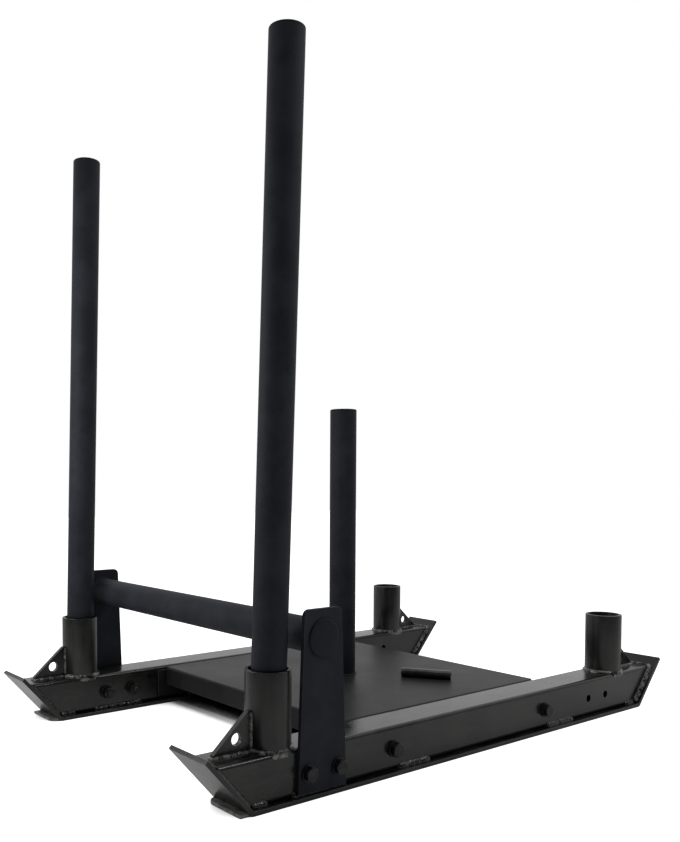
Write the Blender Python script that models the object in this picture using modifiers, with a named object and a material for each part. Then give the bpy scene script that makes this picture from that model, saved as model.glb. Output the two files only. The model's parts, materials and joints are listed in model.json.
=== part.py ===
"""Weight sled: two skids, a folded deck with a weight post, a push bar and two uprights.

Metres, +Z up. The origin is on the floor under the middle of the deck. +X points to the
front, whose sockets stand empty, and +Y to the sled's left. The uprights stand in the
rear sockets, where the push bar is bolted on too.
"""
import math

import bmesh
import bpy
from mathutils import Matrix, Vector

# Fits between pieces, in metres
SEAT_GAP = 0.0003            # between faces that are welded or clamped together
BOLT_CLEARANCE = 0.0005      # round a bolt's shank, on the radius
THREAD_GAP = 0.0003          # between a bolt's shank and its nut, on the radius
PLUG_CLEARANCE = 0.0003      # round an end cap's stem in its tube, on the radius

# Skids: a square tube welded on a flat bar whose ends are bent up
TRACK = 0.553                # between the skids' centre lines
TUBE_SIZE = 0.0635
TUBE_WALL = 0.004
TUBE_CORNER = 0.006          # outer corner radius
RUNNER_FLAT = 0.926          # between the corners of its two bends
RUNNER_WIDTH = 0.084
RUNNER_THICK = 0.00635
BEND_RADIUS = 0.003          # on the inside of the bend
TIP_ANGLE = math.radians(48.0)
TIP_LENGTH = 0.1095          # along the underside, from the bend's corner

# Upright sockets, one at each end of each skid
SOCKET_SPACING = 0.810
SOCKET_DIAMETER = 0.0635
SOCKET_WALL = 0.005
SOCKET_HEIGHT = 0.106
SOCKET_CHAMFER = 0.001

# Tow plates, behind each socket on the skid's centre line
TOW_THICK = 0.008
TOW_RISE = 0.054
TOW_FOOT = 0.060
TOW_TOE = 0.005              # height of the plate's outer end
TOW_LAND = 0.004             # length of its level top
TOW_CORNER = 0.002
TOW_HOLE = 0.017
TOW_HOLE_OUT = 0.023         # from the socket's wall
TOW_HOLE_UP = 0.020          # above the skid tube

# Deck: one sheet folded down on four sides
DECK_LENGTH = 0.4835
DECK_DROP = 0.001            # its top is this far below the skid tubes' tops
SHEET = 0.004
FOLD_RADIUS = 0.0055         # on the outside of the fold
END_FLANGE = 0.0333
SIDE_FLANGE = 0.055
SIDE_TAB = 0.0155            # the side flanges run this far past the end flanges
CORNER_RELIEF = 0.008        # notch cut out of each corner before folding

# Fasteners
BOLT_DIAMETER = 0.012
HEX_FLATS = 0.019
HEAD_HEIGHT = 0.0075
NUT_HEIGHT = 0.0105
HEX_CHAMFER = 0.0012
WASHER_DIAMETER = 0.024
WASHER_THICK = 0.0025
BOLT_END = 0.004             # of the bolt, past its nut
BOLT_LINE = 0.030            # the bolts' height above the skid tube's underside
DECK_BOLT_INSET = {"front": 0.0662, "rear": 0.0472}      # from the deck's end
BRACKET_BOLT_SPACING = 0.054

# Push bar and its brackets
BRACKET_PLACE = {"front": 0.3345, "rear": -0.3395}    # the front pattern is left empty
BRACKET_THICK = 0.00635
BRACKET_LIFT = 0.0027        # its foot is this far above the runner
BRACKET_RISE = 0.247
BRACKET_FOOT = 0.0865
BRACKET_HEAD = 0.0665
BRACKET_CORNER = 0.009
BAR_DIAMETER = 0.0483
BAR_WALL = 0.0032
BAR_HEIGHT = 0.216           # of its axis above the floor
BAR_CAP_DIAMETER = 0.0535

# Uprights and weight post
UPRIGHT_DIAMETER = 0.0483
UPRIGHT_WALL = 0.0032
UPRIGHT_LENGTH = 0.9345
POST_DIAMETER = 0.0483
POST_WALL = 0.0032
POST_LENGTH = 0.4855
POST_PLACE = -0.005          # along X
CAP_FLANGE = 0.003
CAP_ROUND = 0.0012
CAP_STEM = 0.018

# How the uprights lean in their sockets: the heading, and the share of the slack taken up
UPRIGHT_LEAN = {"left": (math.radians(10.0), 0.60), "right": (math.radians(-66.8), 0.685)}

# Tow pin, lying loose on the deck
PIN_DIAMETER = 0.0159
PIN_BORE = 0.010
PIN_LENGTH = 0.088
PIN_CHAMFER = 0.001
PIN_PLACE = (0.087, -0.1225)
PIN_HEADING = math.radians(-55.3)

# Facets
TUBE_SIDES = 40
CAP_SIDES = 32
HOLE_SIDES = 18
ARC_STEPS = 4

# Levels and places worked out from the sizes above
SIDES = {"left": 1, "right": -1}
ENDS = {"front": 1, "rear": -1}
TUBE_BOTTOM = RUNNER_THICK + SEAT_GAP
TUBE_TOP = TUBE_BOTTOM + TUBE_SIZE
TUBE_OUTER = (TRACK + TUBE_SIZE) / 2
TUBE_INNER = (TRACK - TUBE_SIZE) / 2
DECK_TOP = TUBE_TOP - DECK_DROP
DECK_HALF_WIDTH = TUBE_INNER - SEAT_GAP
BOLT_Z = TUBE_BOTTOM + BOLT_LINE
BOLT_HOLE = BOLT_DIAMETER + 2 * BOLT_CLEARANCE
DECK_BOLTS = {end: way * (DECK_LENGTH / 2 - DECK_BOLT_INSET[end]) for end, way in ENDS.items()}
BRACKET_INNER = TUBE_OUTER + SEAT_GAP
BRACKET_OUTER = BRACKET_INNER + BRACKET_THICK


def linear(hex_colour):
    """Linear RGBA of an sRGB hex colour."""
    channels = [int(hex_colour[i:i + 2], 16) / 255 for i in (0, 2, 4)]
    return [c / 12.92 if c <= 0.04045 else ((c + 0.055) / 1.055) ** 2.4 for c in channels] + [1.0]


def finish(name, hex_colour, roughness, metallic=0.0):
    """A Principled material."""
    material = bpy.data.materials.new(name)
    material.use_nodes = True
    shader = material.node_tree.nodes["Principled BSDF"]
    shader.inputs["Base Color"].default_value = linear(hex_colour)
    shader.inputs["Roughness"].default_value = roughness
    shader.inputs["Metallic"].default_value = metallic
    material.diffuse_color = linear(hex_colour)
    return material


def clear_scene():
    for thing in list(bpy.data.objects):
        bpy.data.objects.remove(thing, do_unlink=True)


def new_collection(name):
    collection = bpy.data.collections.new(name)
    bpy.context.scene.collection.children.link(collection)
    return collection


class Model:
    """The collections and finishes that every sub-part uses."""

    def __init__(self):
        self.parts = new_collection("weight_sled")
        self.tools = new_collection("weight_sled_cutters")
        self.gloss_black = finish("semi_gloss_black_enamel", "1c1c1e", 0.38)
        self.matte_black = finish("matte_black_powder_coat", "1b1b20", 0.62)
        self.deck_grey = finish("satin_black_deck", "242426", 0.45)
        self.black_zinc = finish("black_zinc_steel", "161618", 0.35, 0.6)
        self.black_plastic = finish("black_plastic_plug", "141417", 0.55)

    def place(self, name, location, parent=None):
        """An empty that other pieces hang on."""
        empty = bpy.data.objects.new(name, None)
        self.parts.objects.link(empty)
        empty.location = location
        empty.parent = parent
        return empty

    def add(self, name, mesh, material, location=(0, 0, 0), rotation=(0, 0, 0), parent=None):
        """A sub-part from a mesh, which may be shared."""
        if not mesh.materials:
            mesh.materials.append(material)
        thing = bpy.data.objects.new(name, mesh)
        self.parts.objects.link(thing)
        thing.location = location
        thing.rotation_euler = rotation
        thing.parent = parent
        return thing

    def cut(self, thing, cutter_mesh, label):
        """Cuts a mesh, given in the sub-part's own axes, out of a sub-part."""
        cutter = bpy.data.objects.new(f"{thing.name}_{label}", cutter_mesh)
        self.tools.objects.link(cutter)
        cutter.location = thing.location
        cutter.rotation_euler = thing.rotation_euler
        cutter.parent = thing.parent
        cutter.hide_render = True
        cutter.display_type = "WIRE"
        boolean = thing.modifiers.new(label, "BOOLEAN")
        boolean.operation = "DIFFERENCE"
        boolean.solver = "EXACT"
        boolean.object = cutter


def evaluated_mesh(thing, name):
    """The evaluated mesh of a guide object, welded and shaded; the guide is removed."""
    bpy.context.scene.collection.objects.link(thing)
    bpy.context.view_layer.update()
    mesh = bpy.data.meshes.new_from_object(thing.evaluated_get(bpy.context.evaluated_depsgraph_get()))
    bpy.data.objects.remove(thing, do_unlink=True)
    mesh.name = name
    mesh.materials.clear()
    shape = bmesh.new()
    shape.from_mesh(mesh)
    bmesh.ops.remove_doubles(shape, verts=shape.verts, dist=1e-6)
    shape.to_mesh(mesh)
    shape.free()
    shade(mesh)
    return mesh


def shade(mesh):
    mesh.shade_smooth()
    mesh.set_sharp_from_angle(angle=math.radians(35))


def turned(name, profile, sides, closed):
    """A mesh turned about Z from points (radius, height) that run down its outer side."""
    mesh = bpy.data.meshes.new(name)
    points = [(radius, 0, height) for radius, height in profile]
    edges = [(i, i + 1) for i in range(len(points) - 1)]
    if closed:
        edges.append((len(points) - 1, 0))
    mesh.from_pydata(points, edges, [])
    guide = bpy.data.objects.new(name, mesh)
    screw = guide.modifiers.new("turn", "SCREW")
    screw.axis = "Z"
    screw.angle = 2 * math.pi
    screw.steps = sides
    screw.render_steps = sides
    screw.use_merge_vertices = True
    screw.merge_threshold = 1e-5
    return evaluated_mesh(guide, name)


def pipe(name, diameter, wall, length, chamfer=0.0, sides=TUBE_SIDES):
    """A round tube standing on the origin, its top outer edge chamfered if asked."""
    outer = diameter / 2
    inner = outer - wall
    rim = [(outer - chamfer, length), (outer, length - chamfer)] if chamfer else [(outer, length)]
    return turned(name, rim + [(outer, 0), (inner, 0), (inner, length)], sides, True)


def arc(centre, radius, start, end, steps):
    """Points on an arc, both ends included."""
    turns = [start + (end - start) * i / steps for i in range(steps + 1)]
    return [(centre[0] + radius * math.cos(a), centre[1] + radius * math.sin(a)) for a in turns]


def circle(centre, diameter, sides):
    return arc(centre, diameter / 2, 0, 2 * math.pi, sides)[:-1]


def rounded(corners, steps=ARC_STEPS):
    """An outline from corners (x, y, radius), each rounded to its radius."""
    outline = []
    count = len(corners)
    for i, (x, y, radius) in enumerate(corners):
        here = Vector((x, y))
        if radius == 0:
            outline.append((x, y))
            continue
        before = (Vector(corners[i - 1][:2]) - here).normalized()
        after = (Vector(corners[(i + 1) % count][:2]) - here).normalized()
        half = before.angle(after) / 2
        centre = here + (before + after).normalized() * radius / math.sin(half)
        first = here + before * radius / math.tan(half) - centre
        sweep = Vector.angle_signed(first, here + after * radius / math.tan(half) - centre)
        start = math.atan2(first.y, first.x)
        outline += arc(centre, radius, start, start - sweep, steps)
    return outline


def plate(name, loops, thickness):
    """A mesh of a flat outline with holes, centred on the plane through the origin."""
    curve = bpy.data.curves.new(name, "CURVE")
    curve.dimensions = "2D"
    curve.fill_mode = "BOTH"
    curve.extrude = thickness / 2
    curve.resolution_u = 1
    for loop in loops:
        spline = curve.splines.new("POLY")
        spline.points.add(len(loop) - 1)
        for point, (x, y) in zip(spline.points, loop):
            point.co = (x, y, 0, 1)
        spline.use_cyclic_u = True
    mesh = evaluated_mesh(bpy.data.objects.new(name, curve), name)
    bpy.data.curves.remove(curve)
    return mesh


def drills(name, places, diameter, length):
    """A cutter of straight drills along Y, each centred on a place."""
    shape = bmesh.new()
    for place in places:
        bmesh.ops.create_cone(
            shape,
            cap_ends=True,
            segments=HOLE_SIDES,
            radius1=diameter / 2,
            radius2=diameter / 2,
            depth=length,
            matrix=Matrix.Translation(place) @ Matrix.Rotation(math.pi / 2, 4, "X"),
        )
    mesh = bpy.data.meshes.new(name)
    shape.to_mesh(mesh)
    shape.free()
    return mesh


def lofted(name, rings, closed):
    """A mesh through rings of equal counts; open ends are capped, or the last meets the first."""
    shape = bmesh.new()
    rows = [[shape.verts.new(point) for point in ring] for ring in rings]
    count = len(rows[0])
    pairs = list(zip(rows, rows[1:])) + ([(rows[-1], rows[0])] if closed else [])
    for upper, lower in pairs:
        for i in range(count):
            j = (i + 1) % count
            shape.faces.new((upper[i], lower[i], lower[j], upper[j]))
    if not closed:
        shape.faces.new(rows[0])
        shape.faces.new(reversed(rows[-1]))
    mesh = bpy.data.meshes.new(name)
    shape.to_mesh(mesh)
    shape.free()
    shade(mesh)
    return mesh


def ring(radius, height):
    return [(x, y, height) for x, y in circle((0, 0), 2 * radius, HOLE_SIDES)]


def hex_ring(height):
    """Points round a hexagon across HEX_FLATS, spaced as a ring's are, from a corner."""
    points = []
    for i in range(HOLE_SIDES):
        turn = 2 * math.pi * i / HOLE_SIDES
        reach = HEX_FLATS / 2 / math.cos(turn % (math.pi / 3) - math.pi / 6)
        points.append((reach * math.cos(turn), reach * math.sin(turn), height))
    return points


def bolt_mesh(name, grip):
    """A hex bolt: its head stands on the origin, its shank runs down through the grip and nut."""
    shank = BOLT_DIAMETER / 2
    length = grip + NUT_HEIGHT + BOLT_END
    return lofted(name, [
        ring(HEX_FLATS / 2 * 0.94, HEAD_HEIGHT),
        hex_ring(HEAD_HEIGHT - HEX_CHAMFER),
        hex_ring(0),
        ring(shank, 0),
        ring(shank, HEX_CHAMFER - length),
        ring(shank - HEX_CHAMFER, -length),
    ], False)


def nut_mesh(name):
    """A hex nut that hangs below the origin, its chamfered side down."""
    bore = BOLT_DIAMETER / 2 + THREAD_GAP
    return lofted(name, [
        ring(bore, 0),
        hex_ring(0),
        hex_ring(HEX_CHAMFER - NUT_HEIGHT),
        ring(HEX_FLATS / 2 * 0.94, -NUT_HEIGHT),
        ring(bore, -NUT_HEIGHT),
    ], True)


def cap_mesh(name, flange_diameter, bore_diameter):
    """A plug for a tube's end: a rounded flange on the origin and a stem below it."""
    flange = flange_diameter / 2
    stem = bore_diameter / 2 - PLUG_CLEARANCE
    edge = arc((flange - CAP_ROUND, CAP_FLANGE - CAP_ROUND), CAP_ROUND, math.pi / 2, 0, 3)
    profile = [(0, CAP_FLANGE)] + edge + [(flange, 0), (stem, 0), (stem, -CAP_STEM), (0, -CAP_STEM)]
    return turned(name, profile, CAP_SIDES, False)


def tip_point(along, above):
    """A point of the front tip: its distance along the underside, and its height off it."""
    corner = RUNNER_FLAT / 2
    return (
        corner + along * math.cos(TIP_ANGLE) - above * math.sin(TIP_ANGLE),
        along * math.sin(TIP_ANGLE) + above * math.cos(TIP_ANGLE),
    )


def runner_outline():
    """Side view of the bent bar, as (x, z)."""
    inner_corner = RUNNER_FLAT / 2 - RUNNER_THICK * math.tan(TIP_ANGLE / 2)
    front = [
        (RUNNER_FLAT / 2, 0, BEND_RADIUS + RUNNER_THICK),
        (*tip_point(TIP_LENGTH, 0), 0),
        (*tip_point(TIP_LENGTH, RUNNER_THICK), 0),
        (inner_corner, RUNNER_THICK, BEND_RADIUS),
    ]
    rear = [(-x, z, radius) for x, z, radius in reversed(front)]
    return rounded(front + rear)


def mitre_start():
    """Half the skid tube's length along its underside: where the bend begins."""
    return RUNNER_FLAT / 2 - (RUNNER_THICK + BEND_RADIUS) * math.tan(TIP_ANGLE / 2)


def mitre_mesh(name):
    """Two cutters that take the tube's ends off parallel to the tips."""
    reach = 3 * TUBE_SIZE
    foot = mitre_start()
    slope = 1 / math.tan(TIP_ANGLE)
    wedge = [
        (foot - reach * slope, TUBE_BOTTOM - reach),
        (foot + 2 * reach * slope + reach, TUBE_BOTTOM - reach),
        (foot + 2 * reach * slope + reach, TUBE_BOTTOM + 2 * reach),
        (foot + 2 * reach * slope, TUBE_BOTTOM + 2 * reach),
    ]
    shape = bmesh.new()
    for side in (1, -1):
        for y in (-TUBE_SIZE, TUBE_SIZE):
            for x, z in wedge:
                shape.verts.new((side * x, y, z))
    shape.verts.ensure_lookup_table()
    for first in (0, 8):
        bmesh.ops.convex_hull(shape, input=shape.verts[first:first + 8])
    bmesh.ops.recalc_face_normals(shape, faces=shape.faces)
    mesh = bpy.data.meshes.new(name)
    shape.to_mesh(mesh)
    shape.free()
    return mesh


def bolt_places():
    """Every place along X where a bolt hole goes through the skid tubes."""
    bracket = [place + step * BRACKET_BOLT_SPACING / 2
               for place in BRACKET_PLACE.values() for step in ENDS.values()]
    return list(DECK_BOLTS.values()) + bracket


def square_loop(size, radius):
    half = size / 2
    corners = [(half, half), (half, -half), (-half, -half), (-half, half)]
    return rounded([(x, y, radius) for x, y in corners])


def build_skids(model):
    """Tube, runner, sockets and tow plates of both skids."""
    tube_loops = [square_loop(TUBE_SIZE, TUBE_CORNER),
                  square_loop(TUBE_SIZE - 2 * TUBE_WALL, TUBE_CORNER - TUBE_WALL)]
    blank_length = 2 * (mitre_start() + TUBE_SIZE / math.tan(TIP_ANGLE)) + TUBE_SIZE
    tube = plate("skid_tube", tube_loops, blank_length)
    lift = Matrix.Translation((0, 0, TUBE_BOTTOM + TUBE_SIZE / 2))
    tube.transform(lift @ Matrix.Rotation(math.pi / 2, 4, "Y"))
    runner = plate("runner", [runner_outline()], RUNNER_WIDTH)
    socket = pipe("socket", SOCKET_DIAMETER, SOCKET_WALL, SOCKET_HEIGHT, SOCKET_CHAMFER)
    tow = plate("tow_plate", [rounded([
        (0, 0, 0),
        (TOW_FOOT, 0, 0),
        (TOW_FOOT, TOW_TOE, TOW_CORNER),
        (TOW_LAND, TOW_RISE, TOW_CORNER),
        (0, TOW_RISE, 0),
    ]), circle((TOW_HOLE_OUT, TOW_HOLE_UP), TOW_HOLE, HOLE_SIDES)], TOW_THICK)
    mitres = mitre_mesh("skid_mitres")
    holes = drills("skid_holes", [(x, 0, BOLT_Z) for x in bolt_places()], BOLT_HOLE, 2 * TUBE_SIZE)
    for side, sign in SIDES.items():
        skid = model.place(f"{side}_skid", (0, sign * TRACK / 2, 0))
        thing = model.add(f"{side}_skid_tube", tube, model.gloss_black, parent=skid)
        model.cut(thing, mitres, "mitres")
        model.cut(thing, holes, "bolt_holes")
        model.add(f"{side}_runner", runner, model.gloss_black, rotation=(math.pi / 2, 0, 0), parent=skid)
        for end, way in ENDS.items():
            level = TUBE_TOP + SEAT_GAP
            x = way * SOCKET_SPACING / 2
            model.add(f"{side}_{end}_socket", socket, model.gloss_black, (x, 0, level), parent=skid)
            foot = (x + way * (SOCKET_DIAMETER / 2 + SEAT_GAP), 0, level)
            turn = (math.pi / 2, 0, 0 if way > 0 else math.pi)
            model.add(f"{side}_{end}_tow_plate", tow, model.gloss_black, foot, turn, skid)


def pull_edges(shape, edges, move):
    """Draws a flange out of open edges."""
    made = bmesh.ops.extrude_edge_only(shape, edges=edges)["geom"]
    verts = [piece for piece in made if isinstance(piece, bmesh.types.BMVert)]
    bmesh.ops.translate(shape, vec=move, verts=verts)


def on_level(edge, axis, level):
    """Whether both ends of an edge have this coordinate."""
    return all(abs(vert.co[axis] - level) < 1e-6 for vert in edge.verts)


def deck_mesh():
    """The deck's outer face as one open sheet, folded but without its thickness."""
    half_length = DECK_LENGTH / 2
    halves = (half_length, DECK_HALF_WIDTH)
    shape = bmesh.new()
    bmesh.ops.create_grid(shape, x_segments=3, y_segments=3, size=1)
    for vert in shape.verts:
        for axis, half in enumerate(halves):
            inner = abs(vert.co[axis]) < 0.9
            vert.co[axis] = math.copysign(half - CORNER_RELIEF if inner else half, vert.co[axis])
        vert.co.z = DECK_TOP
    corners = []
    for face in shape.faces:
        centre = face.calc_center_median()
        if all(abs(centre[axis]) > half - CORNER_RELIEF for axis, half in enumerate(halves)):
            corners.append(face)
    bmesh.ops.delete(shape, geom=corners, context="FACES")
    folds = []
    for axis, flange in enumerate((END_FLANGE, SIDE_FLANGE)):
        for sign in (1, -1):
            edges = [edge for edge in shape.edges
                     if on_level(edge, axis, sign * halves[axis]) and on_level(edge, 2, DECK_TOP)]
            pull_edges(shape, edges, (0, 0, -flange))
            folds += edges
    bmesh.ops.bevel(shape, geom=folds, offset=FOLD_RADIUS, offset_type="OFFSET", segments=ARC_STEPS,
                    profile=0.5, affect="EDGES", material=-1)
    for sign in (1, -1):
        ends = []
        for edge in shape.edges:
            upright = edge.calc_length() > FOLD_RADIUS and on_level(edge, 0, edge.verts[0].co.x)
            on_side = any(on_level(edge, 1, way * DECK_HALF_WIDTH) for way in (1, -1))
            if upright and on_side and sign * edge.verts[0].co.x > 0:
                ends.append(edge)
        pull_edges(shape, ends, (sign * (CORNER_RELIEF + SIDE_TAB), 0, 0))
    bmesh.ops.recalc_face_normals(shape, faces=shape.faces)
    if max(shape.faces, key=lambda face: face.calc_area()).normal.z < 0:
        bmesh.ops.reverse_faces(shape, faces=shape.faces)
    mesh = bpy.data.meshes.new("deck_tray")
    shape.to_mesh(mesh)
    shape.free()
    shade(mesh)
    return mesh


def build_deck(model):
    """The folded deck, hung between the skids on its side flanges."""
    deck = model.add("deck_tray", deck_mesh(), model.deck_grey)
    wall = deck.modifiers.new("sheet", "SOLIDIFY")
    wall.thickness = SHEET
    wall.offset = -1
    wall.use_even_offset = True
    holes = [(x, side * DECK_HALF_WIDTH, BOLT_Z) for x in DECK_BOLTS.values() for side in SIDES.values()]
    model.cut(deck, drills("deck_holes", holes, BOLT_HOLE, 8 * SHEET), "bolt_holes")


def build_post(model):
    """The weight post in the middle of the deck, with its cap."""
    tube = pipe("weight_post", POST_DIAMETER, POST_WALL, POST_LENGTH)
    post = model.add("weight_post", tube, model.matte_black, (POST_PLACE, 0, DECK_TOP + SEAT_GAP))
    cap = cap_mesh("weight_post_cap", POST_DIAMETER, POST_DIAMETER - 2 * POST_WALL)
    model.add("weight_post_cap", cap, model.black_plastic, (0, 0, POST_LENGTH + SEAT_GAP), parent=post)


def bracket_mesh():
    """A tapered plate with its bolt holes and the bar's hole; its foot is on the local X axis."""
    foot = RUNNER_THICK + BRACKET_LIFT
    outline = rounded([
        (BRACKET_FOOT / 2, 0, 0),
        (BRACKET_HEAD / 2, BRACKET_RISE, BRACKET_CORNER),
        (-BRACKET_HEAD / 2, BRACKET_RISE, BRACKET_CORNER),
        (-BRACKET_FOOT / 2, 0, 0),
    ])
    loops = [outline, circle((0, BAR_HEIGHT - foot), BAR_DIAMETER + 2 * SEAT_GAP, TUBE_SIDES)]
    for step in ENDS.values():
        loops.append(circle((step * BRACKET_BOLT_SPACING / 2, BOLT_Z - foot), BOLT_HOLE, HOLE_SIDES))
    return plate("push_bar_bracket", loops, BRACKET_THICK)


def build_push_bar(model):
    """The push bar through its two brackets, with an end cap on each outer face."""
    length = 2 * BRACKET_OUTER
    stand = model.place("push_bar_stand", (BRACKET_PLACE["rear"], 0, 0))
    bracket = bracket_mesh()
    tube = pipe("push_bar", BAR_DIAMETER, BAR_WALL, length)
    cap = cap_mesh("bar_cap", BAR_CAP_DIAMETER, BAR_DIAMETER - 2 * BAR_WALL)
    model.add("push_bar", tube, model.matte_black, (0, length / 2, BAR_HEIGHT), (math.pi / 2, 0, 0), stand)
    for side, sign in SIDES.items():
        middle = (0, sign * (BRACKET_INNER + BRACKET_THICK / 2), RUNNER_THICK + BRACKET_LIFT)
        end = (0, sign * (BRACKET_OUTER + SEAT_GAP), BAR_HEIGHT)
        model.add(f"{side}_push_bar_bracket", bracket, model.matte_black, middle, (math.pi / 2, 0, 0),
                  stand)
        model.add(f"{side}_bar_cap", cap, model.black_plastic, end, (-sign * math.pi / 2, 0, 0), stand)


def build_fasteners(model):
    """Bolt, washers and nut at each place, the head outside and the nut inside."""
    stacks = {"deck": (TUBE_OUTER, DECK_HALF_WIDTH - SHEET), "bracket": (BRACKET_OUTER, TUBE_INNER)}
    washer = plate("washer", [circle((0, 0), WASHER_DIAMETER, HOLE_SIDES),
                              circle((0, 0), BOLT_HOLE, HOLE_SIDES)], WASHER_THICK)
    nut = nut_mesh("nut")
    for stack, (outer, inner) in stacks.items():
        seat = WASHER_THICK + 2 * SEAT_GAP
        grip = outer - inner + 2 * seat
        bolt = bolt_mesh(f"{stack}_bolt", grip)
        for end, way in ENDS.items():
            x = BRACKET_PLACE["rear"] + way * BRACKET_BOLT_SPACING / 2
            if stack == "deck":
                x = DECK_BOLTS[end]
            for side, sign in SIDES.items():
                turn = (-sign * math.pi / 2, 0, 0)
                for label, mesh, reach in (
                    ("bolt", bolt, outer + seat),
                    ("head_washer", washer, outer + seat / 2),
                    ("nut_washer", washer, inner - seat / 2),
                    ("nut", nut, inner - seat),
                ):
                    model.add(f"{side}_{stack}_{end}_{label}", mesh, model.black_zinc,
                              (x, sign * reach, BOLT_Z), turn)


def build_uprights(model):
    """The two uprights, loose in the rear sockets and leaning within the slack."""
    slack = SOCKET_DIAMETER - 2 * SOCKET_WALL - UPRIGHT_DIAMETER - 2 * SEAT_GAP
    tube = pipe("upright", UPRIGHT_DIAMETER, UPRIGHT_WALL, UPRIGHT_LENGTH)
    cap = cap_mesh("upright_cap", UPRIGHT_DIAMETER, UPRIGHT_DIAMETER - 2 * UPRIGHT_WALL)
    for side, sign in SIDES.items():
        heading, share = UPRIGHT_LEAN[side]
        lean = share * math.atan(slack / SOCKET_HEIGHT)
        rotation = Matrix.Rotation(lean, 4, Vector((-math.sin(heading), math.cos(heading), 0)))
        middle = Vector((-SOCKET_SPACING / 2, sign * TRACK / 2, TUBE_TOP + SEAT_GAP + SOCKET_HEIGHT / 2))
        low_edge = UPRIGHT_DIAMETER / 2 * math.sin(lean)
        drop = (SOCKET_HEIGHT / 2 - low_edge) / math.cos(lean)
        foot = middle - rotation.to_3x3() @ Vector((0, 0, drop))
        upright = model.add(f"{side}_upright", tube, model.matte_black, foot, rotation.to_euler())
        model.add(f"{side}_upright_cap", cap, model.black_plastic, (0, 0, UPRIGHT_LENGTH + SEAT_GAP),
                  parent=upright)


def build_pin(model):
    """The tow pin, a short length of thick tube that lies on the deck."""
    radius = PIN_DIAMETER / 2
    bore = PIN_BORE / 2
    half = PIN_LENGTH / 2
    profile = [(radius - PIN_CHAMFER, half), (radius, half - PIN_CHAMFER), (radius, PIN_CHAMFER - half),
               (radius - PIN_CHAMFER, -half), (bore, -half), (bore, half)]
    mesh = turned("tow_pin", profile, HOLE_SIDES, True)
    place = (*PIN_PLACE, DECK_TOP + SEAT_GAP + radius)
    model.add("tow_pin", mesh, model.black_zinc, place, (0, math.pi / 2, PIN_HEADING))


def main():
    clear_scene()
    model = Model()
    build_skids(model)
    build_deck(model)
    build_post(model)
    build_push_bar(model)
    build_fasteners(model)
    build_uprights(model)
    build_pin(model)


main()
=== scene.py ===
"""Weight sled: the finishes, edges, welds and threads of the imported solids, and the stage they stand on.

Laid out as a Blender add-on and run as a script. Metres, +Z up, +X to the sled's front and +Y to its left.
"""
import json
import math

import bmesh
import bpy
from mathutils import Matrix, Vector, noise


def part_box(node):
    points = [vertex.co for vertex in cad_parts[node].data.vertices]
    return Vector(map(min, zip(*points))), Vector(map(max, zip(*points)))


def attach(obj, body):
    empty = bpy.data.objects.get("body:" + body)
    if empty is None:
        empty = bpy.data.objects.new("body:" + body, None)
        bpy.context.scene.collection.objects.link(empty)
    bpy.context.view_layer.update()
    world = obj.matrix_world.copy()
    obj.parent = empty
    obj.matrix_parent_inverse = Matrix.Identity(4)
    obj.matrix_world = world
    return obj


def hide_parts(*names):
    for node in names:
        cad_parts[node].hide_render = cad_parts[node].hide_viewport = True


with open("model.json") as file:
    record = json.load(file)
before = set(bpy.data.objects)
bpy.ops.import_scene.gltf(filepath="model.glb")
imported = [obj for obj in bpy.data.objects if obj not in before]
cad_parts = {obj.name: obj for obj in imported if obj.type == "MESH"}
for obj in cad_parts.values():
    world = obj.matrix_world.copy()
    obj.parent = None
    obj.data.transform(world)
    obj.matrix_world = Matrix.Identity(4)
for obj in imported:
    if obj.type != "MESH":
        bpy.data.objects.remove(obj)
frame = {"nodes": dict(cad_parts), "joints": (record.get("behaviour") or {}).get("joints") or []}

bl_info = {
    "name": "Weight sled",
    "version": (1, 0, 0),
    "blender": (4, 5, 0),
    "location": "3D View > Sidebar > Sled",
    "description": "Edges, welds, threads and finishes of a weight sled",
    "category": "Object",
}

SIDES = {"left": 1, "right": -1}
ENDS = {"front": 1, "rear": -1}
STEEL = "sled"                # the body of everything that is welded or bolted together
GAP = 0.0003                  # between two solids that are welded or seated
MERGE = 1e-6                  # how close two points are that become one
TIP_ANGLE = math.radians(48.0)
TIP_FOOT = 0.46017            # where a tip's inner face meets the runner's top, along X
RUNNER_THICK = 0.00635
TUBE_FOOT = 0.00665           # height of the skid tubes' underside
TUBE_HALF = 0.03175           # half their width
TUBE_CORNER = 0.006           # their outer corner radius
STITCHES = ((-0.458, -0.430), (-0.391, -0.291), (-0.188, -0.117), (0.179, 0.257), (0.428, 0.458))
HEEL_START = -0.459           # of the wear strip's rear end, inside the bend of the tip
HEEL_END = -0.480
HEEL_HALF = 0.0381            # half the wear strip's width
HEEL_CORNER = 0.016           # the round of its inner corner
HEEL_THICK = 0.0045
PLATE_HALF = 0.004            # half a tow plate's thickness
PLATE_REACH = 0.060           # of a tow plate along the skid tube, from the socket's side
PLATE_RISE = 0.0525           # of the bead between it and the socket
CORNER_STEPS = 9              # of a bead round a corner of the plate
SOCKET_WALL = 0.005
PIPE_WALL = 0.0032            # of the post, the uprights and the push bar
PIPE_RIM = 0.0004             # rounding of their ends, and of the washers
HEAVY_RIM = 0.0009            # rounding of the sockets' and the tow pin's ends
PIN_BORE = 0.005              # radius of the tow pin's bore
CAP_THICK = 0.003             # of an end cap's flange
CAP_EDGE = 0.0022             # the round of its rim
CAP_CROWN = 0.0007            # how much its top is domed
CAP_STEP = 0.0035             # from the tube's outside in to the cap's stem
CAP_DEPTH = 0.018             # of the stem
HEX_FLATS = 0.019
FACE_RADIUS = 0.00895         # of the flat disc that the chamfer leaves on a hexagon's end
HEAD_HEIGHT = 0.0075
SHANK = 0.0059                # radius of a bolt's shank and thread
THREAD_DEPTH = 0.0009
THREAD_LENGTH = 0.018
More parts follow.
